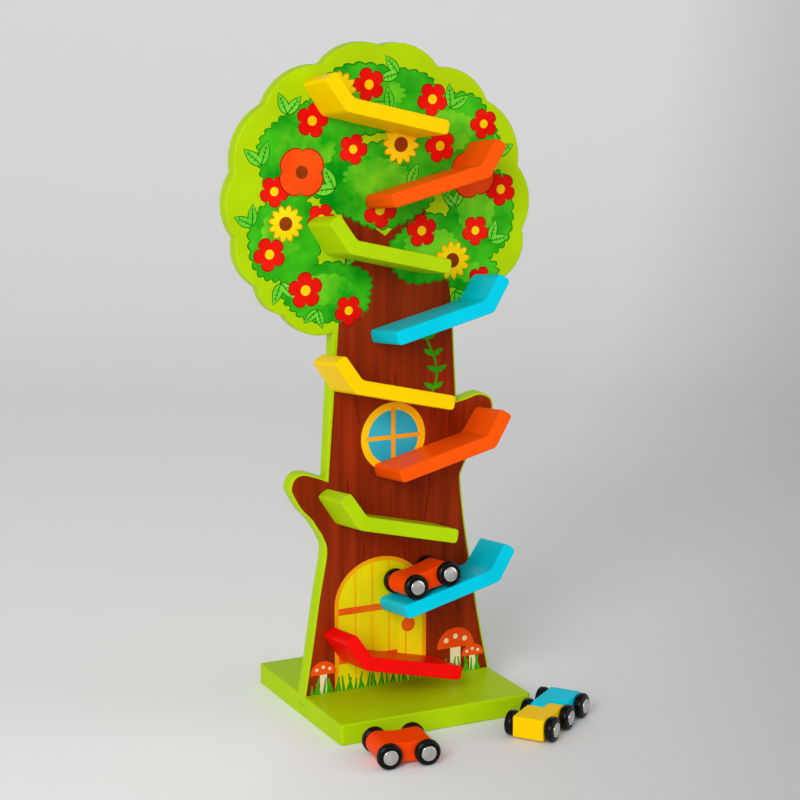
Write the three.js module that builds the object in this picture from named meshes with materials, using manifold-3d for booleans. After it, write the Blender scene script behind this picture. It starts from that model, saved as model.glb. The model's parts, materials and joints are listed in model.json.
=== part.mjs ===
// Wooden car track in the shape of a tree. A flat panel stands in the groove of a base board and
// carries bent ramps in a zigzag. Two four-wheeled cars and one jointed six-wheeled car belong to it.
// Millimetres, +Z up, X along the panel, -Y to the front. The origin is the centre of the base's
// underside.

import * as THREE from 'three';
import { mergeVertices } from 'three/addons/utils/BufferGeometryUtils.js';
import Module from 'manifold-3d';

const wasm = await Module();
wasm.setup();

// Base board
const BASE_WIDTH = 148;
const BASE_DEPTH = 146;
const BASE_THICKNESS = 15;
const BASE_CORNER_RADIUS = 3;
const GROOVE_DEPTH = 7;
const GROOVE_CLEARANCE = 0.2;

// Tree panel, outlined in X and Z as seen from the front
const PANEL_THICKNESS = 12;
const PANEL_SETBACK = 63;
const LOBE_BULGE = 0.165;
const RIGHT_TRUNK = [
  [67.5, 46], [62, 75], [54.5, 121], [50, 158], [51.2, 166.5], [55.5, 175], [61, 183.5], [67.5, 191],
  [73, 200], [76, 209], [73.8, 217.5], [64.5, 221.8], [53, 219.2],
];
const CROWN_CUSPS = [
  [43, 276], [63, 286], [85.5, 304.5], [98, 337], [94, 382], [69, 428], [31, 451.5], [-12.5, 467],
  [-56, 455], [-97.5, 429.5], [-120, 385], [-119.5, 341.5], [-104, 307.5], [-85.5, 287.5], [-49.5, 273],
];
const LEFT_TRUNK = [
  [-62, 173.7], [-72.5, 176.9], [-80, 174.5], [-83.3, 166.5], [-80.5, 159], [-75, 150], [-68, 142.5],
  [-63.5, 135.5], [-59.2, 128], [-57, 117], [-62.4, 87], [-68.5, 48],
];
const RIGHT_FORK = [46.5, 218];
const LEFT_FORK = [-55.5, 171];

// Ramps: each has a long arm that runs downhill and a short arm turned up at its high end
const RAMP_ARM = 71.5;
const RAMP_TIP = 21.5;
const RAMP_THICKNESS = 10;
const RAMP_DEPTH = 40;
const RAMP_END_RADIUS = 3;
const RAMP_BEND_DEG = 43;
const RAMP_SLOPE_DEG = 13.5;
const RAMP_TILT_DEG = 7;
const LIME = 0xacd400;
const YELLOW = 0xffd600;
const ORANGE = 0xff5f0a;
const BLUE = 0x00c4e0;
const RED = 0xf00a05;
// downhill is +1 to the right and -1 to the left; bend is the running surface's bend on the panel
const RAMPS = [
  { downhill: 1, bend: [-51, 430], colour: YELLOW },
  { downhill: -1, bend: [44, 383], colour: ORANGE },
  { downhill: 1, bend: [-49, 336.5], colour: LIME },
  { downhill: -1, bend: [47.5, 290], colour: BLUE },
  { downhill: 1, bend: [-45.5, 242], colour: YELLOW },
  { downhill: -1, bend: [50, 194.5], colour: ORANGE },
  { downhill: 1, bend: [-42.5, 147], colour: LIME },
  { downhill: -1, bend: [54, 97], colour: BLUE },
  { downhill: 1, bend: [-39, 46.5], colour: RED },
];

// Wood screws: two hold each ramp from behind, and two hold the panel from below
const SCREW_SHANK_RADIUS = 1.75;
const SCREW_HEAD_RADIUS = 3.5;
const SCREW_HEAD_HEIGHT = 2.2;
const SCREW_HEAD_SINK = 0.4;
const SCREW_POINT = 3;
const SCREW_CLEARANCE = 0.3;
const SCREW_BITE = 14;
const RAMP_SCREW_PLACES = { upper: 16, lower: 54 };
const BASE_SCREW_BITE = 20;
const BASE_SCREW_SPREAD = 90;

// Cars
const WHEEL_RADIUS = 9;
const WHEEL_WIDTH = 6;
const WHEEL_EDGE = 1.2;
const WHEEL_STEP_RADIUS = 6.8;
const WHEEL_STEP_DEPTH = 0.6;
const AXLE_RADIUS = 1.5;
const CAP_RADIUS = 5.4;
const CAP_RIM = 0.5;
const CAP_DOME = 1;
const WHEELBASE = 26.5;
const BODY_RADIUS = 7.7;
const BODY_WAIST = 6.6;
const CAR_BODY_WIDTH = 26;
const LINK_BODY_WIDTH = 23;
const LINK_END_RADIUS = 2;
const RUNNING_CLEARANCE = 0.3;
const WHEEL_SIDE_GAP = 0.4;
const RAMP_CAR_RAMP = 8;
const RAMP_CAR_PLACE = 45.5;
// Middles of the cars on the floor, from the base's left or right edge and from its front
const FLOOR_CAR_FROM_LEFT = 27;
const FLOOR_CAR_FROM_FRONT = 37;
const FLOOR_CAR_TURN_DEG = -8;
const LINK_CAR_FROM_RIGHT = 2.5;
const LINK_CAR_FROM_FRONT = 27;
const LINK_CAR_TURN_DEG = 37;

// Facets
const CURVE_STEPS = 4;
const SCREW_SIDES = 10;
const WHEEL_SIDES = 24;
const AXLE_SIDES = 12;

// Derived places
const panelFront = PANEL_SETBACK - BASE_DEPTH / 2;
const panelBack = panelFront + PANEL_THICKNESS;
const panelMiddle = (panelFront + panelBack) / 2;
const grooveFloor = BASE_THICKNESS - GROOVE_DEPTH;
const slope = THREE.MathUtils.degToRad(RAMP_SLOPE_DEG);
const tilt = THREE.MathUtils.degToRad(RAMP_TILT_DEG);
const bendTurn = THREE.MathUtils.degToRad(RAMP_BEND_DEG);
const quarterTurn = Math.PI / 2;

const track = new THREE.Group();

function addMesh(parent, name, geometry, colour, roughness = 0.4, metalness = 0) {
  const material = new THREE.MeshStandardMaterial({ color: colour, roughness, metalness });
  const mesh = new THREE.Mesh(geometry, material);
  mesh.name = name;
  parent.add(mesh);
  return mesh;
}

// Closed mesh with welded corners, for joining and cutting
function toSolid(geometry) {
  const bare = geometry.clone();
  bare.deleteAttribute('normal');
  bare.deleteAttribute('uv');
  const welded = mergeVertices(bare);
  const corners = welded.index.array;
  const triangles = [];
  for (let i = 0; i < corners.length; i += 3) {
    const [a, b, c] = corners.slice(i, i + 3);
    if (a !== b && b !== c && c !== a) triangles.push(a, b, c);
  }
  return new wasm.Manifold(new wasm.Mesh({
    numProp: 3,
    vertProperties: new Float32Array(welded.attributes.position.array),
    triVerts: new Uint32Array(triangles),
  }));
}

function toGeometry(solid) {
  const mesh = solid.getMesh();
  const geometry = new THREE.BufferGeometry();
  geometry.setAttribute('position', new THREE.BufferAttribute(mesh.vertProperties, 3));
  geometry.setIndex(new THREE.BufferAttribute(mesh.triVerts, 1));
  geometry.computeVertexNormals();
  return geometry;
}

function cut(geometry, cutters) {
  let solid = toSolid(geometry);
  for (const cutter of cutters) solid = solid.subtract(toSolid(cutter));
  return toGeometry(solid);
}

// Lathe around +Y from [radius, height] pairs, listed upwards along the outside
function turned(profile, sides) {
  return new THREE.LatheGeometry(profile.map(([r, y]) => new THREE.Vector2(r, y)), sides);
}

function extruded(shape, depth) {
  return new THREE.ExtrudeGeometry(shape, { depth, bevelEnabled: false, curveSegments: CURVE_STEPS });
}

// Closed outline from [x, y, corner radius] points; a corner without a radius stays sharp
function roundedOutline(corners) {
  const points = corners.map(([x, y]) => new THREE.Vector2(x, y));
  const shape = new THREE.Shape();
  corners.forEach(([x, y, radius = 0], i) => {
    const toLast = points.at(i - 1).clone().sub(points[i]);
    const toNext = points[(i + 1) % points.length].clone().sub(points[i]);
    const turn = toLast.angleTo(toNext);
    const reach = radius / Math.tan(turn / 2);
    const start = points[i].clone().addScaledVector(toLast.normalize(), reach);
    const end = points[i].clone().addScaledVector(toNext.normalize(), reach);
    if (i === 0) shape.moveTo(start.x, start.y);
    else shape.lineTo(start.x, start.y);
    if (radius > 0) shape.quadraticCurveTo(x, y, end.x, end.y);
  });
  shape.closePath();
  return shape;
}

// Wood screw around Y: the head's top is at 0 and the point looks to -Y
function screw(length) {
  return turned([
    [0, -length],
    [SCREW_SHANK_RADIUS, SCREW_POINT - length],
    [SCREW_SHANK_RADIUS, -SCREW_HEAD_HEIGHT],
    [SCREW_HEAD_RADIUS, 0],
    [0, 0],
  ], SCREW_SIDES);
}

// The hole of such a screw, open at the head's end
function screwHole(length) {
  const shank = SCREW_SHANK_RADIUS + SCREW_CLEARANCE;
  const head = SCREW_HEAD_RADIUS + SCREW_CLEARANCE;
  const mouth = SCREW_HEAD_SINK + SCREW_CLEARANCE;
  return turned([
    [0, -length - SCREW_CLEARANCE],
    [shank, -length - SCREW_CLEARANCE],
    [shank, -SCREW_HEAD_HEIGHT - SCREW_CLEARANCE],
    [head, 0],
    [head, mouth],
    [0, mouth],
  ], SCREW_SIDES);
}

// Ramp outline around its bend, with the running surface on top
function rampOutline(downhill) {
  const outer = RAMP_THICKNESS * Math.tan(bendTurn / 2);
  const tip = new THREE.Vector2(-RAMP_TIP * Math.cos(bendTurn), RAMP_TIP * Math.sin(bendTurn));
  const across = new THREE.Vector2(-Math.sin(bendTurn), -Math.cos(bendTurn)).multiplyScalar(RAMP_THICKNESS);
  const corners = [
    [0, 0],
    [tip.x, tip.y, RAMP_END_RADIUS],
    [tip.x + across.x, tip.y + across.y, RAMP_END_RADIUS],
    [-outer, -RAMP_THICKNESS],
    [RAMP_ARM, -RAMP_THICKNESS, RAMP_END_RADIUS],
    [RAMP_ARM, 0, RAMP_END_RADIUS],
  ];
  return roundedOutline(corners.map(([along, up, radius]) => [
    downhill * (along * Math.cos(slope) + up * Math.sin(slope)),
    up * Math.cos(slope) - along * Math.sin(slope),
    radius,
  ]));
}

// The board leans back by the tilt, and its back end is cut to lie flat on the panel
function rampBoard(downhill) {
  const geometry = extruded(rampOutline(downhill), RAMP_DEPTH);
  const position = geometry.attributes.position;
  for (let i = 0; i < position.count; i += 1) {
    const up = position.getY(i);
    const out = position.getZ(i) === 0 ? up * Math.tan(tilt) : RAMP_DEPTH;
    const y = up * Math.sin(tilt) - out * Math.cos(tilt);
    position.setXYZ(i, position.getX(i), y, out * Math.sin(tilt) + up * Math.cos(tilt));
  }
  return geometry;
}

// Screw axis in a ramp's back end: halfway through the board, raised so that the level screw stays
// inside the rising board
function rampScrewPlace(ramp, along) {
  const up = -RAMP_THICKNESS / 2;
  const x = ramp.bend[0] + ramp.downhill * (along * Math.cos(slope) + up * Math.sin(slope));
  const z = (up * Math.cos(slope) - along * Math.sin(slope)) / Math.cos(tilt);
  const rise = SCREW_BITE * Math.tan(tilt) / 2;
  return new THREE.Vector3(x, panelBack - SCREW_HEAD_SINK, ramp.bend[1] + z + rise);
}

// Arc that bulges outwards between two cusps of an outline that runs anticlockwise
function addLobe(shape, from, to) {
  const chord = new THREE.Vector2(to[0] - from[0], to[1] - from[1]);
  const rise = LOBE_BULGE * chord.length();
  const radius = rise / 2 + chord.lengthSq() / (8 * rise);
  const inward = new THREE.Vector2(-chord.y, chord.x).normalize();
  const centre = new THREE.Vector2(...from).addScaledVector(chord, 0.5);
  centre.addScaledVector(inward, radius - rise);
  const start = Math.atan2(from[1] - centre.y, from[0] - centre.x);
  const end = Math.atan2(to[1] - centre.y, to[0] - centre.x);
  shape.absarc(centre.x, centre.y, radius, start, end, false);
}

function panelOutline() {
  const half = BASE_WIDTH / 2;
  const toPoints = (pairs) => pairs.map(([x, z]) => new THREE.Vector2(x, z));
  const shape = new THREE.Shape();
  shape.moveTo(-half, grooveFloor);
  shape.lineTo(half, grooveFloor);
  shape.lineTo(half, BASE_THICKNESS);
  shape.splineThru(toPoints([...RIGHT_TRUNK, RIGHT_FORK]));
  shape.lineTo(...CROWN_CUSPS[0]);
  CROWN_CUSPS.slice(1).forEach((cusp, i) => addLobe(shape, CROWN_CUSPS[i], cusp));
  shape.lineTo(...LEFT_FORK);
  shape.splineThru(toPoints([...LEFT_TRUNK, [-half, BASE_THICKNESS]]));
  shape.closePath();
  return shape;
}

function addBaseBoard(screws) {
  const x = BASE_WIDTH / 2;
  const y = BASE_DEPTH / 2;
  const r = BASE_CORNER_RADIUS;
  const board = extruded(roundedOutline([[-x, -y, r], [x, -y, r], [x, y, r], [-x, y, r]]), BASE_THICKNESS);
  const grooveWidth = PANEL_THICKNESS + 2 * GROOVE_CLEARANCE;
  const groove = new THREE.BoxGeometry(2 * BASE_WIDTH, grooveWidth, 2 * GROOVE_DEPTH);
  groove.translate(0, panelMiddle, BASE_THICKNESS);
  addMesh(track, 'base_board', cut(board, [groove, ...screws]), LIME);
}

function addPanel(screws) {
  const panel = extruded(panelOutline(), PANEL_THICKNESS);
  panel.rotateX(quarterTurn);
  panel.translate(0, panelBack, 0);
  addMesh(track, 'tree_panel', cut(panel, screws), LIME);
}

function addScrew(name, length, place, turn) {
  const mesh = addMesh(track, name, screw(length), 0xc0c0c0, 0.35, 1);
  mesh.position.copy(place);
  mesh.rotation.x = turn;
  const hole = screwHole(length);
  hole.rotateX(turn);
  hole.translate(place.x, place.y, place.z);
  return hole;
}

function addRamp(ramp, number) {
  const length = PANEL_THICKNESS - SCREW_HEAD_SINK + SCREW_BITE;
  const holes = Object.entries(RAMP_SCREW_PLACES).map(([end, along]) => (
    addScrew(`ramp_${number}_screw_${end}`, length, rampScrewPlace(ramp, along), 0)
  ));
  const board = rampBoard(ramp.downhill);
  board.translate(ramp.bend[0], panelFront, ramp.bend[1]);
  addMesh(track, `ramp_${number}`, cut(board, holes), ramp.colour);
  return holes;
}

function addTrack() {
  const rampHoles = RAMPS.flatMap((ramp, i) => addRamp(ramp, i + 1));
  const length = grooveFloor - SCREW_HEAD_SINK + BASE_SCREW_BITE;
  const baseHoles = [['left', -1], ['right', 1]].map(([side, sign]) => {
    const place = new THREE.Vector3(sign * BASE_SCREW_SPREAD / 2, panelMiddle, SCREW_HEAD_SINK);
    return addScrew(`base_screw_${side}`, length, place, -quarterTurn);
  });
  addBaseBoard(baseHoles);
  addPanel([...rampHoles, ...baseHoles]);
}

// Solid of a car body's outline with a bore for each of its two axles. It is centred, with X along
// the car and Y along the axles.
function boredBody(shape, width) {
  for (const axle of [-WHEELBASE / 2, WHEELBASE / 2]) {
    shape.holes.push(new THREE.Path().absarc(axle, 0, AXLE_RADIUS + RUNNING_CLEARANCE, 0, 2 * Math.PI, true));
  }
  const body = extruded(shape, width);
  body.translate(0, 0, -width / 2);
  body.rotateX(quarterTurn);
  return body;
}

// Body of a four-wheeled car: round ends about the axles and a shallow valley above and below
function carBody() {
  const half = WHEELBASE / 2;
  const lean = Math.atan2(BODY_RADIUS - BODY_WAIST, half);
  const shape = new THREE.Shape();
  shape.absarc(half, 0, BODY_RADIUS, lean - quarterTurn, quarterTurn - lean, false);
  shape.lineTo(0, BODY_WAIST);
  shape.absarc(-half, 0, BODY_RADIUS, quarterTurn + lean, 3 * quarterTurn - lean, false);
  shape.lineTo(0, -BODY_WAIST);
  shape.closePath();
  return boredBody(shape, CAR_BODY_WIDTH);
}

// Half of the jointed car: its free end is square. At the shared axle it is round, and one side is
// cut away for the other half's eye.
function linkBody() {
  const half = WHEELBASE / 2;
  const end = half + BODY_RADIUS;
  const shape = new THREE.Shape();
  shape.absarc(half, 0, BODY_RADIUS, -quarterTurn, quarterTurn, false);
  shape.lineTo(LINK_END_RADIUS - end, BODY_RADIUS);
  shape.quadraticCurveTo(-end, BODY_RADIUS, -end, BODY_RADIUS - LINK_END_RADIUS);
  shape.lineTo(-end, LINK_END_RADIUS - BODY_RADIUS);
  shape.quadraticCurveTo(-end, -BODY_RADIUS, LINK_END_RADIUS - end, -BODY_RADIUS);
  shape.closePath();
  const eye = BODY_RADIUS + RUNNING_CLEARANCE;
  const notch = new THREE.BoxGeometry(4 * eye, LINK_BODY_WIDTH, 4 * eye);
  notch.translate(half + eye, LINK_BODY_WIDTH / 2 - RUNNING_CLEARANCE / 2, 0);
  return cut(boredBody(shape, LINK_BODY_WIDTH), [notch]);
}

// Wheel around Y with its inner face at 0; a step rings the seat of the axle's cap
function wheel() {
  const bore = AXLE_RADIUS + RUNNING_CLEARANCE;
  const seat = WHEEL_WIDTH - WHEEL_STEP_DEPTH;
  return turned([
    [bore, 0],
    [WHEEL_RADIUS - WHEEL_EDGE, 0],
    [WHEEL_RADIUS, WHEEL_EDGE],
    [WHEEL_RADIUS, WHEEL_WIDTH - WHEEL_EDGE],
    [WHEEL_RADIUS - WHEEL_EDGE, WHEEL_WIDTH],
    [WHEEL_STEP_RADIUS, WHEEL_WIDTH],
    [WHEEL_STEP_RADIUS, seat],
    [bore, seat],
    [bore, 0],
  ], WHEEL_SIDES);
}

// Half the axle's length up to the cap's inner face
function capFace(bodyWidth) {
  return bodyWidth / 2 + WHEEL_SIDE_GAP + WHEEL_WIDTH - WHEEL_STEP_DEPTH + RUNNING_CLEARANCE;
}

// Axle around Y with a domed cap on each end
function axle(bodyWidth) {
  const face = capFace(bodyWidth);
  const halfProfile = [
    [AXLE_RADIUS, face],
    [CAP_RADIUS, face],
    [CAP_RADIUS, face + CAP_RIM],
    [CAP_RADIUS * Math.SQRT1_2, face + CAP_RIM + CAP_DOME * Math.SQRT1_2],
    [0, face + CAP_RIM + CAP_DOME],
  ];
  const lowerHalf = halfProfile.map(([r, y]) => [r, -y]).reverse();
  return turned([...lowerHalf, ...halfProfile], AXLE_SIDES);
}

function addWheelset(car, name, along, bodyWidth) {
  const set = new THREE.Group();
  set.position.x = along;
  car.group.add(set);
  addMesh(set, `${car.name}_${name}_axle`, axle(bodyWidth), 0xd0d0d0, 0.25, 1);
  for (const [side, turn] of [['left', 0], ['right', Math.PI]]) {
    const mesh = addMesh(set, `${car.name}_${name}_wheel_${side}`, wheel(), 0x101010, 0.2);
    mesh.rotation.z = turn;
    mesh.position.y = Math.cos(turn) * (bodyWidth / 2 + WHEEL_SIDE_GAP);
  }
}

function newCar(name, parent) {
  const group = new THREE.Group();
  parent.add(group);
  return { name, group };
}

function addCar(name, parent) {
  const car = newCar(name, parent);
  addMesh(car.group, `${name}_body`, carBody(), ORANGE);
  addWheelset(car, 'front', WHEELBASE / 2, CAR_BODY_WIDTH);
  addWheelset(car, 'rear', -WHEELBASE / 2, CAR_BODY_WIDTH);
  return car.group;
}

// Two halves that share the middle axle, each with an eye on its own side of the middle
function addLinkCar(name, parent) {
  const car = newCar(name, parent);
  const front = addMesh(car.group, `${name}_front_body`, linkBody(), YELLOW);
  front.position.x = -WHEELBASE / 2;
  const rear = addMesh(car.group, `${name}_rear_body`, linkBody(), BLUE);
  rear.position.x = WHEELBASE / 2;
  rear.rotation.z = Math.PI;
  for (const [place, along] of [['front', -WHEELBASE], ['middle', 0], ['rear', WHEELBASE]]) {
    addWheelset(car, place, along, LINK_BODY_WIDTH);
  }
  return car.group;
}

// The ramp car stands on its ramp with its far wheels close to the panel
function addRampCar() {
  const ramp = RAMPS[RAMP_CAR_RAMP - 1];
  const leaning = new THREE.Group();
  leaning.position.set(ramp.bend[0], panelFront, ramp.bend[1]);
  leaning.rotation.x = -tilt;
  const sloping = new THREE.Group();
  sloping.rotation.y = ramp.downhill * slope;
  track.add(leaning);
  leaning.add(sloping);
  const wheelFace = CAR_BODY_WIDTH / 2 + WHEEL_SIDE_GAP + WHEEL_WIDTH;
  const out = wheelFace + 2 * WHEEL_RADIUS * Math.tan(tilt) + 2 * RUNNING_CLEARANCE;
  const car = addCar('ramp_car', sloping);
  car.position.set(ramp.downhill * RAMP_CAR_PLACE, -out, WHEEL_RADIUS + RUNNING_CLEARANCE);
  car.rotation.z = ramp.downhill > 0 ? 0 : Math.PI;
}

function standOnFloor(car, x, fromFront, turnDeg) {
  car.position.set(x, -BASE_DEPTH / 2 - fromFront, WHEEL_RADIUS);
  car.rotation.z = THREE.MathUtils.degToRad(turnDeg);
}

function addFloorCars() {
  const half = BASE_WIDTH / 2;
  const floorCar = addCar('floor_car', track);
  standOnFloor(floorCar, FLOOR_CAR_FROM_LEFT - half, FLOOR_CAR_FROM_FRONT, FLOOR_CAR_TURN_DEG);
  const linkCar = addLinkCar('link_car', track);
  standOnFloor(linkCar, half - LINK_CAR_FROM_RIGHT, LINK_CAR_FROM_FRONT, LINK_CAR_TURN_DEG);
}

addTrack();
addRampCar();
addFloorCars();

export default track;
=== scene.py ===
"""Looks of the wooden car track: painted boards with soft edges, a printed tree, cars and a plain studio.

Lengths are metres in the row's frame. The print is laid out in millimetres on the panel's front,
x to the right and z up from the floor.
"""

import itertools
import json
import math

import bmesh
import bpy
from mathutils import Matrix, Vector

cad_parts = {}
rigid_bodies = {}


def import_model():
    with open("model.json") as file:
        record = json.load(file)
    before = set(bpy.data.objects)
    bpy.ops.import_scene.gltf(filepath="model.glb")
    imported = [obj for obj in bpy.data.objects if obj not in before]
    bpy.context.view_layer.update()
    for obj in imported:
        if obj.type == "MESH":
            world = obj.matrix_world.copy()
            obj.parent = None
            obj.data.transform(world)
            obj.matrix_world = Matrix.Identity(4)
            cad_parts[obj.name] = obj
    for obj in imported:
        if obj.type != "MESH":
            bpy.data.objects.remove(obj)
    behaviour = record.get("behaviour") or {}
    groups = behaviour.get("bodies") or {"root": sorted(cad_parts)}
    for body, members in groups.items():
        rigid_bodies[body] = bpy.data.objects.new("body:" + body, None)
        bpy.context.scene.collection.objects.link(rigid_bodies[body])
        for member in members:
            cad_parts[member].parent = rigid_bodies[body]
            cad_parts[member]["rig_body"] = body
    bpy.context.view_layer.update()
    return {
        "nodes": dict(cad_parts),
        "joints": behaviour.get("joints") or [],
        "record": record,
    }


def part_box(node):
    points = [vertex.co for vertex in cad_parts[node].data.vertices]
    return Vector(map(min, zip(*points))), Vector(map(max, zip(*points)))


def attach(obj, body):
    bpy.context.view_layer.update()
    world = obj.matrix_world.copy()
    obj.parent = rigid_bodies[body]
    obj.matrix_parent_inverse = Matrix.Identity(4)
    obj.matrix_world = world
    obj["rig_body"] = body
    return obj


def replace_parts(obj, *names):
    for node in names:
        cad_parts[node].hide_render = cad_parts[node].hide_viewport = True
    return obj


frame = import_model()

MM = 0.001

# Camera at the photograph's view
CAMERA_PLACE = Vector((-0.62155, -1.28269, 0.51149))
CAMERA_YAW = math.radians(26.076)
CAMERA_PITCH = math.radians(11.55)
CAMERA_LENS = 92.97
SENSOR_WIDTH = 36

# Studio
KEY_PLACE = Vector((-1.45, -1.6, 1.2))
KEY_SIZE = 1.3
KEY_POWER = 31
FILL_PLACE = Vector((1.6, -1.2, 0.9))
FILL_SIZE = 1.6
FILL_POWER = 6
LIGHT_AIM = Vector((0, 0, 0.24))
SKY_LEVEL = (0.8, 0.8, 0.8, 1)
SKY_ABOVE = (0.26, 0.26, 0.26, 1)
# Painted light falloff on the paper: the slant of its line, and where the colour starts and ends its run
# from painted light to painted shade
PAINTED_FALLOFF_SLANT = -0.25
PAINTED_FALLOFF_START = -0.05
PAINTED_FALLOFF_END = 0.3
FLOOR_REACH = 30.0
WALL_HEIGHT = 4.0
SWEEP_START = 1.1
SWEEP_RADIUS = 1.2
SWEEP_STEPS = 24

# Edges
BOARD_EDGE = 1.3 * MM
RAMP_EDGE = 0.9 * MM
RAMP_BEND = 2.4 * MM
CAR_EDGE = 1.1 * MM
GROOVE_EDGE = 0.5 * MM
EDGE_STEPS = 5
SHARP_ANGLE = math.radians(30)
SMOOTH_ANGLE = math.radians(40)
FLAT_ANGLE = math.radians(1)
WELD_REACH = 0.001 * MM
FACING = 0.9
SCREW_ROOM = 4.4 * MM

# Wheels: shares of the CAD radius, of the tyre's radius and of its width
WHEEL_INSIDE = 0.98
CAP_SEAT = 0.64
WHEEL_BORE = 0.2
SEAT_DEPTH = 0.1
WHEEL_SIDES = 72
WHEEL_ROUND = 2.0 * MM
WHEEL_GROOVE = 0.25 * MM

# Axles, with caps that keep a share of the CAD radius
AXLE_RADIUS = 1.5 * MM
CAP_INSIDE = 0.97
CAP_SIDES = 48
CAP_ROUND = 0.5 * MM
CAP_DOME = 1.0 * MM
CAP_UNDERCUT = 0.3 * MM
DOME_STEPS = (0.8, 0.6, 0.4, 0.2)
DOME_FALL = 0.92

# Screws
SCREW_SIDES = 32
SCREW_TIP = 3 * MM
SCREW_HEAD = 2.2 * MM
SCREW_RECESS_DEPTH = 1.5 * MM
SCREW_RECESS_WIDTH = 0.9 * MM
SCREW_RECESS_REACH = 2.0 * MM

# Inks lie on each other in thin coats
INK_COAT = 0.008 * MM

nodes = frame["nodes"]
record = frame["record"]
slots = {part["node"]: part["material_slot"] for part in record["subparts"]}
panel_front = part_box("tree_panel")[0].y
base_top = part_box("base_board")[1].z


def colour(red, green, blue):
    """Linear colour from the 0 to 255 values of a screen colour."""
    def linear(value):
        share = value / 255
        return share / 12.92 if share <= 0.04045 else ((share + 0.055) / 1.055) ** 2.4
    return (linear(red), linear(green), linear(blue), 1)


def shaded(tone, factor):
    return (*(min(1, factor * channel) for channel in tone[:3]), 1)


# Materials

class Finish:
    """A new material with short ways to add nodes and to link them."""

    def __init__(self, name, **values):
        self.material = bpy.data.materials.new(name)
        self.material.use_nodes = True
        self.tree = self.material.node_tree
        self.shader = self.tree.nodes["Principled BSDF"]
        for socket, value in values.items():
            self.shader.inputs[socket.replace("_", " ")].default_value = value

    def add(self, kind, **values):
        node = self.tree.nodes.new("ShaderNode" + kind)
        for socket, value in values.items():
            node.inputs[socket.replace("_", " ")].default_value = value
        return node

    def link(self, output, target):
        self.tree.links.new(output, target)

    def noise(self, stretch, detail=4.0):
        """Noise in the row's frame, with so many waves in a metre along each axis."""
        place = self.add("TexCoord")
        mapping = self.add("Mapping", Scale=stretch)
        noise = self.add("TexNoise", Scale=1.0, Detail=detail)
        self.link(place.outputs["Object"], mapping.inputs["Vector"])
        self.link(mapping.outputs["Vector"], noise.inputs["Vector"])
        return noise.outputs["Fac"]

    def tint(self, factor, stops):
        """Base colour that runs through (place, colour) stops."""
        ramp = self.add("ValToRGB")
        band = ramp.color_ramp
        for _ in range(len(stops) - len(band.elements)):
            band.elements.new(0.5)
        for element, (place, tone) in zip(band.elements, stops):
            element.position = place
            element.color = tone
        self.link(factor, ramp.inputs["Fac"])
        self.link(ramp.outputs["Color"], self.shader.inputs["Base Color"])

    def vary_roughness(self, factor, low, high):
        span = self.add("MapRange", From_Min=0.3, From_Max=0.7, To_Min=low, To_Max=high)
        self.link(factor, span.inputs["Value"])
        self.link(span.outputs["Result"], self.shader.inputs["Roughness"])

    def bump(self, layers):
        """Bumps from (height, strength, depth) layers, one on another."""
        below = None
        for height, strength, depth in layers:
            bump = self.add("Bump", Strength=strength, Distance=depth)
            self.link(height, bump.inputs["Height"])
            if below:
                self.link(below.outputs["Normal"], bump.inputs["Normal"])
            below = bump
        self.link(below.outputs["Normal"], self.shader.inputs["Normal"])


def paint(name, tone, grain, gloss=0.02, roughness=(0.28, 0.4)):
    """Semi-gloss paint that lets a little of the wood's grain through."""
    finish = Finish(name, Specular_IOR_Level=gloss, Coat_Weight=0.05, Coat_Roughness=0.14)
    streaks = finish.noise(grain, 5)
    patches = finish.noise((26, 26, 26), 3)
    finish.tint(patches, [(0.3, shaded(tone, 0.93)), (0.52, tone), (0.72, shaded(tone, 1.05))])
    finish.vary_roughness(patches, *roughness)
    peel = finish.noise((900, 900, 900), 2)
    finish.bump([(streaks, 0.05, 0.08 * MM), (peel, 0.05, 0.02 * MM)])
    return finish.material


def ink(name, dark, light, stretch=(30, 30, 30), roughness=(0.3, 0.42)):
    """Printed colour that shades softly between two tones."""
    finish = Finish(name, Specular_IOR_Level=0.03, Coat_Weight=0.03, Coat_Roughness=0.2)
    clouds = finish.noise(stretch, 3)
    finish.tint(clouds, [(0.32, dark), (0.66, light)])
    finish.vary_roughness(clouds, *roughness)
    finish.bump([(finish.noise((60, 700, 700), 3), 0.08, 0.04 * MM)])
    return finish.material


def moulded_black():
    finish = Finish("wheel_black", Specular_IOR_Level=0.05, Coat_Weight=0.3, Coat_Roughness=0.03)
    smears = finish.noise((140, 140, 140), 4)
    finish.tint(smears, [(0.35, colour(3, 3, 4)), (0.7, colour(11, 11, 12))])
    finish.vary_roughness(smears, 0.24, 0.4)
    finish.bump([(finish.noise((1500, 1500, 1500), 2), 0.1, 0.02 * MM)])
    return finish.material


def metal(name, tone, roughness, stretch):
    finish = Finish(name, Metallic=1.0)
    lines = finish.noise(stretch, 6)
    finish.tint(lines, [(0.3, shaded(tone, 0.82)), (0.7, shaded(tone, 1.06))])
    finish.vary_roughness(lines, *roughness)
    finish.bump([(lines, 0.12, 0.02 * MM)])
    return finish.material


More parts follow.
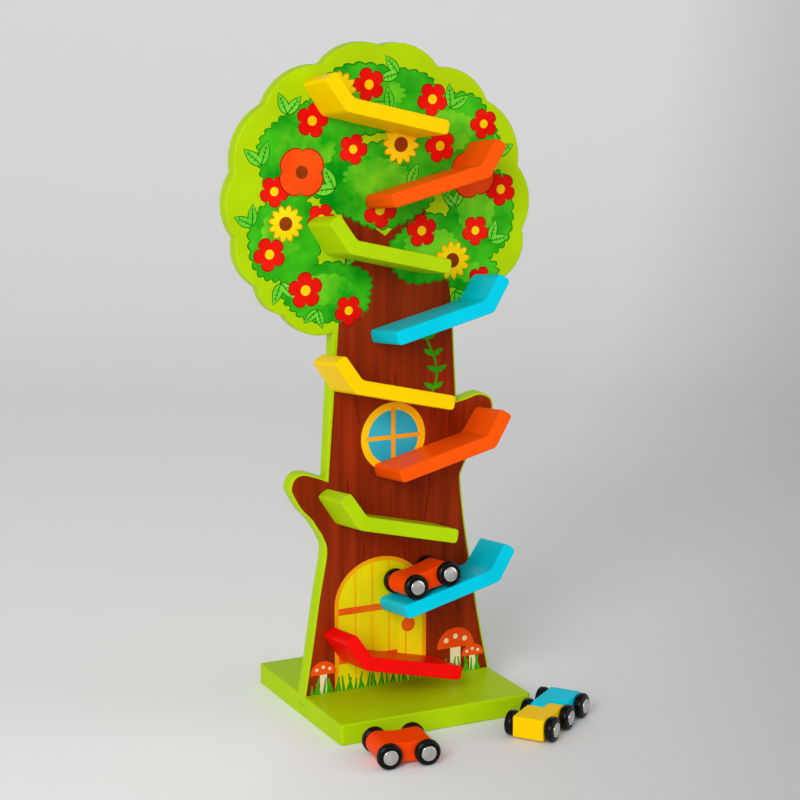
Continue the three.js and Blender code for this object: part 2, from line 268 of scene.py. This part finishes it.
ALONG_X = (18, 420, 420)
ALONG_Z = (420, 420, 18)
LIME = colour(176, 212, 8)
YELLOW = colour(255, 208, 0)
ORANGE = colour(252, 88, 8)
BLUE = colour(0, 204, 230)
RED = colour(248, 12, 8)
CAR_ORANGE = colour(255, 70, 4)
# Paper tones of the painted falloff: painted light and painted shade
PAPER_PAINTED_LIGHT = colour(252, 252, 252)
PAPER_PAINTED_SHADE = colour(213, 212, 212)
finishes = {
    "lime_paint": paint("lime_paint", LIME, ALONG_X),
    "tree_print": paint("panel_lime", LIME, ALONG_Z),
    "yellow_paint": paint("yellow_paint", YELLOW, ALONG_X),
    "orange_paint": paint("orange_paint", ORANGE, ALONG_X),
    "blue_paint": paint("blue_paint", BLUE, ALONG_X),
    "red_paint": paint("red_paint", RED, ALONG_X),
    "wheel_black": moulded_black(),
    "axle_metal": metal("axle_metal", colour(206, 204, 200), (0.16, 0.34), (260, 260, 260)),
    "car_orange": paint("car_orange", CAR_ORANGE, ALONG_X),
    "screw_steel": metal("screw_steel", colour(186, 184, 178), (0.28, 0.45), (500, 500, 500)),
}


# Pieces

def new_piece(name, mesh, body, material):
    piece = bpy.data.objects.new(name, mesh)
    bpy.context.scene.collection.objects.link(piece)
    mesh.materials.clear()
    mesh.materials.append(material)
    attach(piece, body)
    return piece


def stand_for(node, mesh):
    """A piece with this mesh in the place of a CAD node, on the node's body and in its finish."""
    slot = slots[node]
    redder = slot == "orange_paint" and node.endswith("car_body")
    finish = finishes["car_orange" if redder else slot]
    piece = new_piece(node + "_look", mesh, nodes[node]["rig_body"], finish)
    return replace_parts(piece, node)


def welded(node):
    """The node's mesh with shared corners and whole flat faces."""
    shape = bmesh.new()
    shape.from_mesh(nodes[node].data)
    bmesh.ops.remove_doubles(shape, verts=shape.verts, dist=WELD_REACH)
    bmesh.ops.dissolve_limit(shape, angle_limit=FLAT_ANGLE, verts=shape.verts, edges=shape.edges)
    return shape


def smooth(mesh):
    mesh.shade_smooth()
    mesh.set_sharp_from_angle(angle=SMOOTH_ANGLE)


def finished_mesh(piece):
    """The piece's mesh with its modifiers worked in."""
    bpy.context.view_layer.update()
    mesh = bpy.data.meshes.new_from_object(piece.evaluated_get(bpy.context.evaluated_depsgraph_get()))
    piece.modifiers.clear()
    piece.data = mesh
    return mesh


def round_edges(node, edge, rounding):
    """Stand for a node with its sharp edges rounded; rounding gives an edge's share of the radius."""
    shape = welded(node)
    weight = shape.edges.layers.float.new("bevel_weight_edge")
    for line in shape.edges:
        if line.is_manifold and line.calc_face_angle() > SHARP_ANGLE:
            line[weight] = rounding(line)
    mesh = bpy.data.meshes.new(node + "_look")
    shape.to_mesh(mesh)
    shape.free()
    piece = stand_for(node, mesh)
    bevel = piece.modifiers.new("round_edges", "BEVEL")
    bevel.limit_method = "WEIGHT"
    bevel.width = edge
    bevel.segments = EDGE_STEPS
    bevel.use_clamp_overlap = False
    bevel.loop_slide = False
    normals = piece.modifiers.new("flat_faces", "WEIGHTED_NORMAL")
    normals.keep_sharp = True
    mesh.shade_smooth()
    finished_mesh(piece)


def box_middle(node):
    low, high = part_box(node)
    return (low + high) / 2


def screw_outward(node):
    """Where a screw's head faces: down under the base, or back behind the panel."""
    return Vector((0, 0, -1)) if node.startswith("base") else Vector((0, 1, 0))


SCREWS = [(box_middle(node), screw_outward(node)) for node in slots if slots[node] == "screw_steel"]


def edge_middle(line):
    return (line.verts[0].co + line.verts[1].co) / 2


def full_rounding(line):
    return 1


def away_from_screws(line):
    """1, or 0 at the rim of a screw hole."""
    point = edge_middle(line)
    for place, outward in SCREWS:
        if (point - place).cross(outward).length < SCREW_ROOM:
            return 0
    return 1


def base_rounding(line):
    """Full rounding outside, and only a broken edge along the groove."""
    low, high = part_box("tree_panel")
    beside = low.y - MM < edge_middle(line).y < high.y + MM
    return away_from_screws(line) * (GROOVE_EDGE / BOARD_EDGE if beside else 1)


def ramp_rounding(line):
    """Full rounding of the bend, which runs to the panel, and crisp outlines."""
    along = (line.verts[1].co - line.verts[0].co).normalized()
    return 1 if abs(along.y) > FACING else RAMP_EDGE / RAMP_BEND * away_from_screws(line)


def lathe(name, profile, sides):
    """Mesh turned around Z from (radius, height) pairs; it closes on itself unless it ends on the axis."""
    shape = bmesh.new()
    rings = []
    for radius, height in profile:
        count = sides if radius > 0 else 1
        turns = [2 * math.pi * i / sides for i in range(count)]
        rings.append([shape.verts.new((radius * math.cos(a), radius * math.sin(a), height)) for a in turns])
    pairs = list(zip(rings, rings[1:]))
    if profile[0][0] > 0:
        pairs.append((rings[-1], rings[0]))
    for lower, upper in pairs:
        for i in range(sides):
            corners = [lower[i % len(lower)], lower[(i + 1) % len(lower)]]
            corners += [upper[(i + 1) % len(upper)], upper[i % len(upper)]]
            shape.faces.new(list(dict.fromkeys(corners)))
    bmesh.ops.recalc_face_normals(shape, faces=shape.faces)
    mesh = bpy.data.meshes.new(name)
    shape.to_mesh(mesh)
    shape.free()
    smooth(mesh)
    return mesh


def arc(centre, radius, start, end, steps=6):
    """(radius, height) points of a rounding; angles in degrees from the outward direction."""
    points = []
    for i in range(steps + 1):
        angle = math.radians(start + (end - start) * i / steps)
        points.append((centre[0] + radius * math.cos(angle), centre[1] + radius * math.sin(angle)))
    return points


def upright(place, axis):
    """Matrix that stands a turned piece's Z along an axis at a place."""
    return Matrix.Translation(place) @ Vector((0, 0, 1)).rotation_difference(axis).to_matrix().to_4x4()


def measured(node, place, axis):
    """Radius of a turned node, and its lowest and highest reach along its axis."""
    steps = [vertex.co - place for vertex in nodes[node].data.vertices]
    heights = [step.dot(axis) for step in steps]
    radius = max(step.cross(axis).length for step in steps)
    return radius, min(heights), max(heights)


def make_wheel(node, place, outward):
    """Rounded tyre with a moulded ring, and a shallow seat for the axle's cap."""
    radius, low, high = measured(node, place, outward)
    radius *= WHEEL_INSIDE
    r = WHEEL_ROUND
    seat = CAP_SEAT * radius
    bore = WHEEL_BORE * radius
    floor = high - SEAT_DEPTH * (high - low)
    groove = (radius - r + seat) / 2
    profile = [(bore, low)]
    profile += arc((radius - r, low + r), r, -90, 0)
    profile += arc((radius - r, high - r), r, 0, 90)
    profile += [(groove + WHEEL_GROOVE, high), (groove, high - WHEEL_GROOVE), (groove - WHEEL_GROOVE, high)]
    profile += arc((seat + WHEEL_GROOVE, high - WHEEL_GROOVE), WHEEL_GROOVE, 90, 180, 3)
    profile += [(seat, floor), (bore, floor)]
    mesh = lathe(node + "_look", profile, WHEEL_SIDES)
    mesh.transform(upright(place, outward))
    stand_for(node, mesh)


def make_axle(node, place, axis):
    """Round bar with a domed, pressed cap on each end."""
    radius, _, high = measured(node, place, axis)
    radius *= CAP_INSIDE
    rim = high - CAP_ROUND - CAP_DOME
    half = [(AXLE_RADIUS, rim), (radius - CAP_UNDERCUT, rim)]
    half += arc((radius - CAP_ROUND, rim + CAP_ROUND), CAP_ROUND, -40, 70, 5)
    for share in DOME_STEPS:
        rise = CAP_DOME * math.sqrt(1 - (DOME_FALL * share) ** 2)
        half.append((share * radius, rim + CAP_ROUND + rise))
    half.append((0, high))
    profile = [(r, -h) for r, h in reversed(half)] + half
    mesh = lathe(node + "_look", profile, CAP_SIDES)
    mesh.transform(upright(place, axis))
    stand_for(node, mesh)


def make_wheelsets():
    """Every body that rolls: its axle and its two wheels about the joint's axis."""
    for joint in frame["joints"]:
        if not joint.get("continuous"):
            continue
        place, axis = Vector(joint["pos_m"]), Vector(joint["axis"])
        for node in record["behaviour"]["bodies"][joint["child"]]:
            if node.endswith("axle"):
                make_axle(node, place, axis)
            else:
                offset = box_middle(node) - place
                make_wheel(node, place, axis if offset.dot(axis) > 0 else -axis)


def make_screw(node):
    """Countersunk screw with a cross recess in its head."""
    outward = screw_outward(node)
    place = box_middle(node)
    radius, bottom, top = measured(node, place, outward)
    shank = radius / 2
    profile = [(0, bottom), (shank, bottom + SCREW_TIP), (shank, top - SCREW_HEAD), (radius, top), (0, top)]
    mesh = lathe(node + "_look", profile, SCREW_SIDES)
    piece = stand_for(node, mesh)
    cutter = bmesh.new()
    for turn in (0, math.pi / 2):
        size = Matrix.Diagonal((2 * SCREW_RECESS_REACH, SCREW_RECESS_WIDTH, 2 * SCREW_RECESS_DEPTH, 1))
        bmesh.ops.create_cube(cutter, size=1, matrix=Matrix.Rotation(turn, 4, "Z") @ size)
    bmesh.ops.translate(cutter, verts=cutter.verts, vec=(0, 0, top))
    tool_mesh = bpy.data.meshes.new("recess")
    cutter.to_mesh(tool_mesh)
    cutter.free()
    tool = bpy.data.objects.new("recess", tool_mesh)
    bpy.context.scene.collection.objects.link(tool)
    recess = piece.modifiers.new("recess", "BOOLEAN")
    recess.operation = "DIFFERENCE"
    recess.use_self = True
    recess.object = tool
    mesh = finished_mesh(piece)
    bpy.data.objects.remove(tool)
    smooth(mesh)
    mesh.transform(upright(place, outward))


def make_fixed_pieces():
    """Boards, ramps, the cars' bodies and the screws."""
    round_edges("tree_panel", BOARD_EDGE, away_from_screws)
    round_edges("base_board", BOARD_EDGE, base_rounding)
    for node in slots:
        if node.startswith("ramp_") and slots[node].endswith("paint") and "car" not in node:
            round_edges(node, RAMP_BEND, ramp_rounding)
        elif node.endswith("_body"):
            round_edges(node, CAR_EDGE, full_rounding)
        elif slots[node] == "screw_steel":
            make_screw(node)


# Print outlines, in millimetres on the panel

SCALLOP_HEIGHT = 2.2
SCALLOP_STEPS = 7
PETAL_STEPS = 14
LEAF_STEPS = 14
ARCH_STEPS = 24
STROKE_TIP = 0.4


def turned(x, z, along, out, angle):
    """Point at a distance along a turned direction, and out to its left."""
    c, s = math.cos(angle), math.sin(angle)
    return (x + along * c - out * s, z + along * s + out * c)


def ring(x, z, across, up=None, wave=lambda angle: 1, steps=40, turn=0.0):
    """Closed outline around a point; wave scales the radius by the angle."""
    up = across if up is None else up
    outline = []
    for i in range(steps):
        angle = 2 * math.pi * i / steps
        a, b = across * wave(angle) * math.cos(angle), up * wave(angle) * math.sin(angle)
        outline.append(turned(x, z, a, b, turn))
    return outline


def cloud(x, z, across, up, grow=0.0):
    """Leafy clump with a scalloped edge."""
    size = (across + up) / 2
    bumps = round(size)
    scallop = SCALLOP_HEIGHT / size
    def wave(angle):
        lumps = 0.05 * math.sin(3 * angle + x) + 0.04 * math.sin(5 * angle + z)
        return 1 + lumps + scallop * abs(math.sin(bumps * angle / 2))
    return ring(x, z, across + grow, up + grow, wave, bumps * SCALLOP_STEPS)


def petals(x, z, radius, count, depth, turn=0.0, sharp=0.5):
    def wave(angle):
        return 1 - depth + depth * abs(math.cos(count * angle / 2)) ** sharp
    return ring(x, z, radius, None, wave, count * PETAL_STEPS, turn)


def leaf(x, z, length, angle, grow=0.0, plump=0.42):
    """Pointed leaf from its stalk end at (x, z)."""
    length_out, half = length + 2 * grow, plump * length / 2 + grow
    def point(share, side):
        along = share * length_out - grow
        out = side * half * math.sin(math.pi * share ** 0.8) ** 0.9 if 0 < share < 1 else 0
        return turned(x, z, along, out, angle)
    shares = [i / LEAF_STEPS for i in range(LEAF_STEPS + 1)]
    return [point(s, 1) for s in shares] + [point(s, -1) for s in reversed(shares[1:-1])]


def stroke(start, end, width):
    """Thin bar that narrows to its end."""
    along = Vector((end[0] - start[0], end[1] - start[1]))
    side = Vector((-along.y, along.x)).normalized() * width / 2
    tip = side * STROKE_TIP
    return [(start[0] - side.x, start[1] - side.y), (end[0] - tip.x, end[1] - tip.y),
            (end[0] + tip.x, end[1] + tip.y), (start[0] + side.x, start[1] + side.y)]


def ribbon(points, width):
    """Line of even width along points."""
    left, right = [], []
    for i, (x, z) in enumerate(points):
        before, after = points[max(0, i - 1)], points[min(len(points) - 1, i + 1)]
        along = Vector((after[0] - before[0], after[1] - before[1])).normalized()
        left.append((x - along.y * width / 2, z + along.x * width / 2))
        right.append((x + along.y * width / 2, z - along.x * width / 2))
    return left + right[::-1]


def arched(x, foot, half, height, rise):
    """Upright with a round top."""
    top = foot + height - rise
    angles = [math.pi * i / ARCH_STEPS for i in range(ARCH_STEPS + 1)]
    arch = [(x + half * math.cos(angle), top + rise * math.sin(angle)) for angle in angles]
    return [(x - half, foot), (x + half, foot)] + arch


def panel_rim():
    """The panel's front outline in millimetres, as a loop of points."""
    shape = welded("tree_panel")
    front = {face for face in shape.faces if face.normal.y < -FACING}
    rim = [line for line in shape.edges if sum(face in front for face in line.link_faces) == 1]
    loops = []
    unused = dict.fromkeys(rim)
    while unused:
        line, _ = unused.popitem()
        start, corner = line.verts
        loop = [start, corner]
        while True:
            onward = next((other for other in corner.link_edges if other in unused), None)
            if onward is None:
                break
            del unused[onward]
            corner = onward.other_vert(corner)
            loop.append(corner)
        loops.append([(vertex.co.x / MM, vertex.co.z / MM) for vertex in loop[:-1]])
    shape.free()
    outline = max(loops, key=len)
    area = sum(a[0] * b[1] - b[0] * a[1] for a, b in zip(outline, outline[1:] + outline[:1]))
    return outline if area > 0 else outline[::-1]


def inset(outline, distance):
    """Anticlockwise outline moved inwards."""
    moved = []
    count = len(outline)
    for i, here in enumerate(outline):
        before, after = Vector(outline[i - 1]), Vector(outline[(i + 1) % count])
        into, out = (Vector(here) - before).normalized(), (after - Vector(here)).normalized()
        normal = (Vector((-into.y, into.x)) + Vector((-out.y, out.x)))
        normal = normal.normalized() / max(0.5, normal.length / 2)
        moved.append((here[0] + normal.x * distance, here[1] + normal.y * distance))
    return moved


coat_numbers = itertools.count(1)


def print_coat(name, outlines, material):
    """One ink on the panel, over the inks before it; each shape lies a hair over the one before."""
    coat = next(coat_numbers)
    shape = bmesh.new()
    for i, outline in enumerate(outlines):
        height = panel_front - (coat + i / len(outlines)) * INK_COAT
        corners = [shape.verts.new((x * MM, height, z * MM)) for x, z in outline]
        face = shape.faces.new(corners)
        face.normal_update()
        if face.normal.y > 0:
            face.normal_flip()
    bmesh.ops.triangulate(shape, faces=shape.faces)
    mesh = bpy.data.meshes.new(name)
    shape.to_mesh(mesh)
    shape.free()
    new_piece(name, mesh, "tree", material)


# Print layout, in millimetres on the panel
INK_MARGIN = 1.6
CROWN_FOOT = 272
BARK_FOOT = base_top / MM + 0.2
PRINT_FOOT = base_top / MM + 0.4

# Top of the trunk, which the clumps cover in part
BOUGHS = [
    (40, 300), (36, 330), (22, 352), (12, 372), (4, 350),
    (-10, 338), (-30, 352), (-46, 366), (-38, 338), (-44, 300),
]

# x, z, half the width and half the height
CLUMPS = [
    (-66, 396, 36, 30), (-18, 432, 44, 22), (41, 405, 34, 27), (64, 350, 24, 34), (-84, 340, 25, 30),
    (-14, 374, 42, 28), (28, 326, 34, 22), (-52, 301, 31, 19), (60, 306, 18, 12),
]
CLUMP_EDGE = 1.0
LIGHT_SHIFT = 3

# x, z and radius
FLOWERS = [
    (-92, 372, 10), (-64, 418, 11), (-34, 398, 10), (-22, 441, 11), (26, 430, 11), (66, 412, 10),
    (32, 398, 11), (80, 366, 11), (60, 338, 10), (18, 340, 11), (-14, 356, 12), (-58, 352, 10),
    (-96, 330, 11), (-70, 304, 12), (-38, 288, 10), (64, 303, 9),
]
POPPIES = [(-72, 384, 17), (58, 378, 17)]
SUNFLOWERS = [(-44, 438, 12), (2, 400, 13), (-84, 350, 12), (42, 318, 13)]
PETAL_EDGE = 0.8
POPPY_EDGE = 0.9
FLOWER_HEART = 0.3
SUNFLOWER_EYE = 0.4
POPPY_EYE = 0.26

# x, z, length and direction in degrees; each pair fans out
LEAF_PAIRS = [
    (-101, 390, 16, 105), (-82, 423, 15, 80), (0, 448, 15, 160), (40, 424, 16, 60), (76, 390, 15, 60),
    (72, 330, 15, 40), (-48, 372, 17, 150), (8, 372, 16, 30), (44, 356, 15, 100), (-30, 332, 16, 200),
    (-108, 350, 14, 120), (-88, 310, 15, -80), (-61, 290, 13, -110), (44, 296, 13, -60), (-6, 424, 15, 130),
]
LEAF_FAN = (-32, 34)
LEAF_EDGE = 0.7
RIB_REACH = 0.86
RIB_WIDTH = 0.9
VEIN_ROOTS = (0.3, 0.5, 0.68)
VEIN_TURNS = (-0.75, 0.75)
VEIN_REACH = 0.16
VEIN_WIDTH = 0.5

BARK_LINES = 16
BARK_LEFT = -44
BARK_SPACING = 6.1
BARK_LOWEST = 60
BARK_STAGGER = 37
BARK_SHORTEST = 26
BARK_LONGER = 9
BARK_SWAY = 1.6
BARK_WIDTH = 0.8

# x, foot, half the width, height and the arch's rise
DOOR = (-14, PRINT_FOOT, 33, 92, 30)
DOOR_FRAME = 3
DOOR_PLANKS = 5
SEAM_WIDTH = 0.9
STRAP_HEIGHTS = (22, 58)
STRAP_WIDTH = 5
KNOB_HEIGHT = 42
KNOB_RADIUS = 5.5

# x, z and radius
WINDOW = (-4, 196, 25)
WINDOW_FRAME = 5.5
BAR_WIDTH = 3
BAR_ENDS = 4

# x, half the width and height
MUSHROOMS = [(46, 15, 34), (60, 9, 20), (-59, 10, 24)]

GRASS_BLADES = 44
GRASS_LEFT = -68
GRASS_SPACING = 3.1
GRASS_LOWEST = 7
GRASS_TALLER = 5
GRASS_LEAN = 3
GRASS_WIDTH = 2.4

VINE_X = 25
VINE_FOOT = 222
VINE_HEIGHT = 62
VINE_SWAY = 5
VINE_WIDTH = 1.6
VINE_LEAF = 9


def leaves():
    """Leaf outlines by layer: contour, fill and ribs."""
    contours, fills, ribs = [], [], []
    for x, z, length, turn in LEAF_PAIRS:
        for fan in LEAF_FAN:
            angle = math.radians(turn + fan)
            contours.append(leaf(x, z, length, angle, LEAF_EDGE))
            fills.append(leaf(x, z, length, angle))
            tip = turned(x, z, RIB_REACH * length, 0, angle)
            ribs.append(stroke((x, z), tip, RIB_WIDTH))
            for share in VEIN_ROOTS:
                root = turned(x, z, share * length, 0, angle)
                for side in VEIN_TURNS:
                    end = turned(*root, VEIN_REACH * length, 0, angle + side)
                    ribs.append(stroke(root, end, VEIN_WIDTH))
    return contours, fills, ribs


def print_crown():
    print_coat("print_clump_edges", [cloud(*clump, CLUMP_EDGE) for clump in CLUMPS],
               ink("ink_clump_edge", colour(4, 128, 10), colour(20, 146, 12)))
    print_coat("print_clumps", [cloud(*clump) for clump in CLUMPS],
               ink("ink_clump", colour(0, 146, 14), colour(70, 196, 26), (44, 44, 44)))
    shift = LIGHT_SHIFT
    lights = [cloud(x - shift, z + shift, 0.55 * across, 0.5 * up) for x, z, across, up in CLUMPS]
    print_coat("print_clump_lights", lights,
               ink("ink_clump_light", colour(24, 170, 18), colour(116, 210, 34), (56, 56, 56)))
    contours, fills, ribs = leaves()
    dark = ink("ink_leaf_edge", colour(6, 112, 6), colour(18, 128, 10))
    print_coat("print_leaf_edges", contours, dark)
    print_coat("print_leaves", fills,
               ink("ink_leaf", colour(70, 196, 34), colour(122, 222, 60), (40, 40, 40)))
    print_coat("print_leaf_ribs", ribs, dark)


def flower(x, z, radius):
    return petals(x, z, radius, 5, 0.34, turn=x)


def poppy(x, z, radius):
    return petals(x, z, radius, 4, 0.2, turn=z)


def sunflower(x, z, radius):
    return petals(x, z, radius, 12, 0.3, turn=x, sharp=1)


def print_blooms(kind, bloom, places, edge, edge_ink, petal_ink):
    """Flowers of one kind, as petals over a wider contour."""
    print_coat(f"print_{kind}_edges", [bloom(x, z, r + edge) for x, z, r in places], edge_ink)
    print_coat(f"print_{kind}_petals", [bloom(x, z, r) for x, z, r in places], petal_ink)


def print_flowers():
    maroon = ink("ink_flower_edge", colour(150, 8, 4), colour(172, 16, 8))
    red = ink("ink_flower", colour(226, 8, 4), colour(246, 30, 14))
    orange = ink("ink_poppy", colour(240, 62, 8), colour(252, 88, 18))
    yellow = ink("ink_yellow", colour(248, 200, 0), colour(255, 224, 20))
    amber = ink("ink_amber", colour(226, 118, 0), colour(244, 146, 10))
    print_blooms("flower", flower, FLOWERS, PETAL_EDGE, maroon, red)
    print_blooms("poppy", poppy, POPPIES, POPPY_EDGE, maroon, orange)
    print_blooms("sun", sunflower, SUNFLOWERS, PETAL_EDGE, amber, yellow)
    print_coat("print_flower_hearts", [ring(x, z, FLOWER_HEART * r) for x, z, r in FLOWERS], yellow)
    eyes = [ring(x, z, SUNFLOWER_EYE * r) for x, z, r in SUNFLOWERS]
    eyes += [ring(x, z, POPPY_EYE * r) for x, z, r in POPPIES]
    print_coat("print_flower_eyes", eyes, ink("ink_eye", colour(120, 44, 6), colour(150, 62, 10)))


def bark_lines():
    """Wavy cracks at even spacing, at staggered heights and of three lengths."""
    lines = []
    for i in range(BARK_LINES):
        x = BARK_LEFT + BARK_SPACING * i
        foot = BARK_LOWEST + BARK_STAGGER * (i * 7 % 5)
        length = BARK_SHORTEST + BARK_LONGER * (i % 3)
        crack = [(x + BARK_SWAY * math.sin(0.11 * t + i), foot + t) for t in range(0, length, 3)]
        lines.append(ribbon(crack, BARK_WIDTH))
    return lines


def print_trunk():
    """Bark inside the panel's rim, from the base up to the boughs."""
    rim = inset(panel_rim(), INK_MARGIN)
    first = next(i for i, (x, z) in enumerate(rim) if z < CROWN_FOOT <= rim[i - 1][1])
    from_crown = rim[first:] + rim[:first]
    chain = [(x, max(z, BARK_FOOT)) for x, z in from_crown if z < CROWN_FOOT]
    print_coat("print_bark", [chain + BOUGHS],
               ink("ink_bark", colour(124, 36, 6), colour(156, 48, 12), (150, 1, 9), (0.36, 0.5)))
    print_coat("print_bark_lines", bark_lines(),
               ink("ink_bark_line", colour(92, 22, 4), colour(110, 30, 6)))


def print_house():
    """Plank door at the foot and a round window above it."""
    x, foot, half, height, rise = DOOR
    wide = DOOR_FRAME
    amber = ink("ink_frame", colour(236, 150, 6), colour(250, 176, 14))
    planks = ink("ink_plank", colour(226, 216, 4), colour(244, 232, 14), (60, 60, 8))
    print_coat("print_door_frame", [arched(x, foot, half + wide, height + wide, rise + wide)], amber)
    print_coat("print_door", [arched(x, foot, half, height, rise)], planks)
    seams = []
    for i in range(1, DOOR_PLANKS):
        seam = x - half + 2 * half * i / DOOR_PLANKS
        top = foot + height - rise + rise * math.sqrt(1 - ((seam - x) / half) ** 2)
        seams.append(ribbon([(seam, foot), (seam, top)], SEAM_WIDTH))
    levels = [foot + lift for lift in STRAP_HEIGHTS]
    straps = [ribbon([(x - half, z), (x + 0.4 * half, z)], STRAP_WIDTH) for z in levels]
    knob = ring(x + 0.66 * half, foot + KNOB_HEIGHT, KNOB_RADIUS)
    print_coat("print_door_seams", seams, amber)
    rust = ink("ink_strap", colour(232, 92, 12), colour(246, 112, 20))
    print_coat("print_door_straps", straps + [knob], rust)
    x, z, radius = WINDOW
    print_coat("print_window_frame", [ring(x, z, radius)],
               ink("ink_window", colour(250, 190, 8), colour(255, 208, 24)))
    print_coat("print_window_panes", [ring(x, z, radius - WINDOW_FRAME)],
               ink("ink_pane", colour(0, 150, 186), colour(60, 190, 214), (24, 24, 24)))
    reach = radius - BAR_ENDS
    level = ribbon([(x - reach, z), (x + reach, z)], BAR_WIDTH)
    post = ribbon([(x, z - reach), (x, z + reach)], BAR_WIDTH)
    print_coat("print_window_bars", [level, post], amber)


def print_mushrooms():
    cream = ink("ink_cream", colour(240, 218, 170), colour(250, 234, 196))
    caps = ink("ink_cap", colour(236, 70, 10), colour(250, 96, 22))
    foot = PRINT_FOOT
    stems, tops, spots = [], [], []
    for x, half, height in MUSHROOMS:
        stems.append(arched(x, foot, 0.28 * half, height - 0.5 * half, 2))
        tops.append(arched(x, foot + height - half, half, half, 0.95 * half))
        for k in (-1, 0, 1):
            lift = 0.16 * (1 - abs(k)) - 0.6
            spots.append(ring(x + 0.5 * half * k, foot + height + lift * half, 0.13 * half))
    print_coat("print_stems", stems, cream)
    print_coat("print_caps", tops, caps)
    print_coat("print_spots", spots, cream)


def print_grass():
    """Blades along the foot, and a vine up the trunk."""
    grass = ink("ink_grass", colour(30, 150, 10), colour(84, 190, 20))
    foot = PRINT_FOOT
    blades = []
    for i in range(GRASS_BLADES):
        x = GRASS_LEFT + GRASS_SPACING * i
        height = GRASS_LOWEST + GRASS_TALLER * abs(math.sin(1.7 * i))
        tip = (x + GRASS_LEAN * math.sin(2.3 * i), foot + height)
        blades.append(stroke((x, foot), tip, GRASS_WIDTH))
    print_coat("print_grass", blades, grass)
    vine = [(VINE_X + VINE_SWAY * math.sin(0.09 * t), VINE_FOOT + t) for t in range(0, VINE_HEIGHT, 3)]
    print_coat("print_vine", [ribbon(vine, VINE_WIDTH)], grass)
    sprigs = []
    for i in range(2, len(vine), 4):
        for side in (0.5, 2.6):
            sprigs.append(leaf(*vine[i], VINE_LEAF, side))
    print_coat("print_vine_leaves", sprigs, grass)


def make_print():
    print_trunk()
    print_crown()
    print_house()
    print_flowers()
    print_mushrooms()
    print_grass()


# Studio

def paper_with_painted_falloff():
    """Paper with light falloff painted into its colour: painted light on the left and at the back, and
    painted shade to the right.
    """
    finish = Finish("floor_pale", Roughness=0.85, Specular_IOR_Level=0.15)
    place = finish.add("TexCoord")
    axes = finish.add("SeparateXYZ")
    shift = finish.add("Math")
    shift.operation = "MULTIPLY_ADD"
    shift.inputs[1].default_value = PAINTED_FALLOFF_SLANT
    across = finish.add("MapRange", From_Min=PAINTED_FALLOFF_START, From_Max=PAINTED_FALLOFF_END)
    finish.link(place.outputs["Object"], axes.inputs["Vector"])
    finish.link(axes.outputs["Y"], shift.inputs[0])
    finish.link(axes.outputs["X"], shift.inputs[2])
    finish.link(shift.outputs["Value"], across.inputs["Value"])
    # Painted shade: the paper's colour darkens to the right in place of light falling off
    finish.tint(across.outputs["Result"], [(0.0, PAPER_PAINTED_LIGHT), (1.0, PAPER_PAINTED_SHADE)])
    return finish.material


def make_floor():
    """Pale sheet that sweeps up behind the object."""
    profile = [(-FLOOR_REACH, 0.0), (SWEEP_START, 0.0)]
    for i in range(1, SWEEP_STEPS + 1):
        angle = math.pi / 2 * i / SWEEP_STEPS
        profile.append((SWEEP_START + SWEEP_RADIUS * math.sin(angle), SWEEP_RADIUS * (1 - math.cos(angle))))
    profile.append((SWEEP_START + SWEEP_RADIUS, WALL_HEIGHT))
    corners = [(side * FLOOR_REACH, y, z) for y, z in profile for side in (-1, 1)]
    faces = [(2 * i, 2 * i + 1, 2 * i + 3, 2 * i + 2) for i in range(len(profile) - 1)]
    mesh = bpy.data.meshes.new("floor")
    mesh.from_pydata(corners, [], faces)
    mesh.shade_smooth()
    floor = bpy.data.objects.new("floor", mesh)
    floor.rotation_euler.z = -CAMERA_YAW
    bpy.context.scene.collection.objects.link(floor)
    mesh.materials.append(paper_with_painted_falloff())


def add_lamp(name, place, size, power):
    lamp = bpy.data.lights.new(name, "AREA")
    lamp.shape = "DISK"
    lamp.size = size
    lamp.energy = power
    holder = bpy.data.objects.new(name, lamp)
    holder.location = place
    holder.rotation_euler = (LIGHT_AIM - place).to_track_quat("-Z", "Y").to_euler()
    bpy.context.scene.collection.objects.link(holder)


def light_studio():
    """Two soft lamps in a room that is bright around and dim above."""
    add_lamp("key", KEY_PLACE, KEY_SIZE, KEY_POWER)
    add_lamp("fill", FILL_PLACE, FILL_SIZE, FILL_POWER)
    sky = bpy.data.worlds.new("studio")
    sky.use_nodes = True
    tree = sky.node_tree
    place = tree.nodes.new("ShaderNodeTexCoord")
    axes = tree.nodes.new("ShaderNodeSeparateXYZ")
    fade = tree.nodes.new("ShaderNodeValToRGB")
    level, above = fade.color_ramp.elements
    level.color = SKY_LEVEL
    above.color = SKY_ABOVE
    tree.links.new(place.outputs["Generated"], axes.inputs["Vector"])
    tree.links.new(axes.outputs["Z"], fade.inputs["Fac"])
    tree.links.new(fade.outputs["Color"], tree.nodes["Background"].inputs["Color"])
    bpy.context.scene.world = sky


def add_camera():
    lens = bpy.data.cameras.new("camera")
    lens.sensor_width = SENSOR_WIDTH
    lens.lens = CAMERA_LENS
    camera = bpy.data.objects.new("camera", lens)
    level = math.cos(CAMERA_PITCH)
    gaze = Vector((math.sin(CAMERA_YAW) * level, math.cos(CAMERA_YAW) * level, -math.sin(CAMERA_PITCH)))
    camera.location = CAMERA_PLACE
    camera.rotation_euler = gaze.to_track_quat("-Z", "Y").to_euler()
    bpy.context.scene.collection.objects.link(camera)
    bpy.context.scene.camera = camera


add_camera()
light_studio()
make_floor()
make_fixed_pieces()
make_wheelsets()
make_print()

bpy.context.scene.view_settings.view_transform = "Standard"
